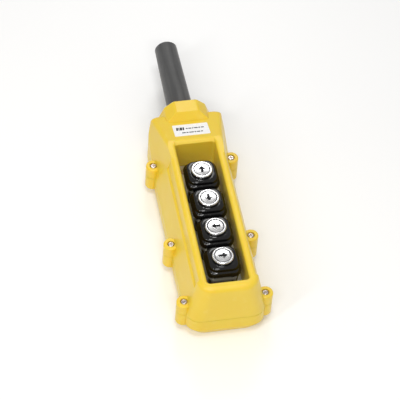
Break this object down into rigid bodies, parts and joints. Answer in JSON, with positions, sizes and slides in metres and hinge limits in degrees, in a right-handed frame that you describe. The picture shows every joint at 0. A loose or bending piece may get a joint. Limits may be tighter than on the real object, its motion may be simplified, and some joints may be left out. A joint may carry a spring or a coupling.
{
  "type": "pendant push-button station",
  "caption": "Hand-held pendant control of a chain hoist: deep yellow two-part case, sprung push buttons under black rubber boots in a guarded recess, and a tapered rubber cable sleeve.",
  "frame": {"origin": "on the plane of the back face, under the middle of the whole station from the case's bottom end to the sleeve's tip", "axes": "+Y along the body towards the cable sleeve, +Z out of the buttons, +X across the body to the right when the cable end points up"},
  "size_m": [0.083, 0.306, 0.0633],
  "materials": {
    "yellow_plastic": "satin moulded plastic",
    "boot_rubber": "glossy",
    "sleeve_rubber": "matt",
    "cap_metal": "satin",
    "label_film": "printed film",
    "zinc_steel": "zinc plated",
    "screw_steel": "plated",
    "spring_steel": "plated",
    "gasket_rubber": "matt",
    "nylon": "natural nylon",
    "phenolic": "moulded",
    "contact_brass": "bright"
  },
  "bodies": {
    "housing": {"front_cover": "yellow_plastic", "back_cover": "yellow_plastic", "cover_gasket": "gasket_rubber", "cover_screws": "screw_steel", "name_label": "label_film", "boot_retaining_plate": "zinc_steel", "retaining_plate_screws": "screw_steel", "cable_sleeve": "sleeve_rubber", "sleeve_band": "zinc_steel", "sleeve_band_screw": "screw_steel", "cord_clamp_saddle": "nylon", "cord_clamp_screws": "screw_steel", "mounting_plate": "zinc_steel", "mounting_plate_screws": "screw_steel", "terminal_screws": "screw_steel", "contact_block_screws": "screw_steel", "contact_block_1": "phenolic", "fixed_contacts_1": "contact_brass", "rubber_boot_1": "boot_rubber", "return_spring_1": "spring_steel", "contact_block_2": "phenolic", "fixed_contacts_2": "contact_brass", "rubber_boot_2": "boot_rubber", "return_spring_2": "spring_steel", "contact_block_3": "phenolic", "fixed_contacts_3": "contact_brass", "rubber_boot_3": "boot_rubber", "return_spring_3": "spring_steel", "contact_block_4": "phenolic", "fixed_contacts_4": "contact_brass", "rubber_boot_4": "boot_rubber", "return_spring_4": "spring_steel"},
    "button_1": {"button_cap_1": "cap_metal", "plunger_1": "nylon", "moving_bridge_1": "contact_brass", "bridge_clip_1": "spring_steel"},
    "button_2": {"button_cap_2": "cap_metal", "plunger_2": "nylon", "moving_bridge_2": "contact_brass", "bridge_clip_2": "spring_steel"},
    "button_3": {"button_cap_3": "cap_metal", "plunger_3": "nylon", "moving_bridge_3": "contact_brass", "bridge_clip_3": "spring_steel"},
    "button_4": {"button_cap_4": "cap_metal", "plunger_4": "nylon", "moving_bridge_4": "contact_brass", "bridge_clip_4": "spring_steel"}
  },
  "joints": [
    {"name": "button_1_press", "type": "slide", "parent": "housing", "child": "button_1", "axis": [0, 0, -1], "range_m": [0, 0.004], "stiffness_N_per_m": 1500, "springref_m": -0.004, "deforming": ["return_spring_1", "rubber_boot_1"]},
    {"name": "button_2_press", "type": "slide", "parent": "housing", "child": "button_2", "axis": [0, 0, -1], "range_m": [0, 0.004], "stiffness_N_per_m": 1500, "springref_m": -0.004, "deforming": ["return_spring_2", "rubber_boot_2"]},
    {"name": "button_3_press", "type": "slide", "parent": "housing", "child": "button_3", "axis": [0, 0, -1], "range_m": [0, 0.004], "stiffness_N_per_m": 1500, "springref_m": -0.004, "deforming": ["return_spring_3", "rubber_boot_3"]},
    {"name": "button_4_press", "type": "slide", "parent": "housing", "child": "button_4", "axis": [0, 0, -1], "range_m": [0, 0.004], "stiffness_N_per_m": 1500, "springref_m": -0.004, "deforming": ["return_spring_4", "rubber_boot_4"]}
  ]
}
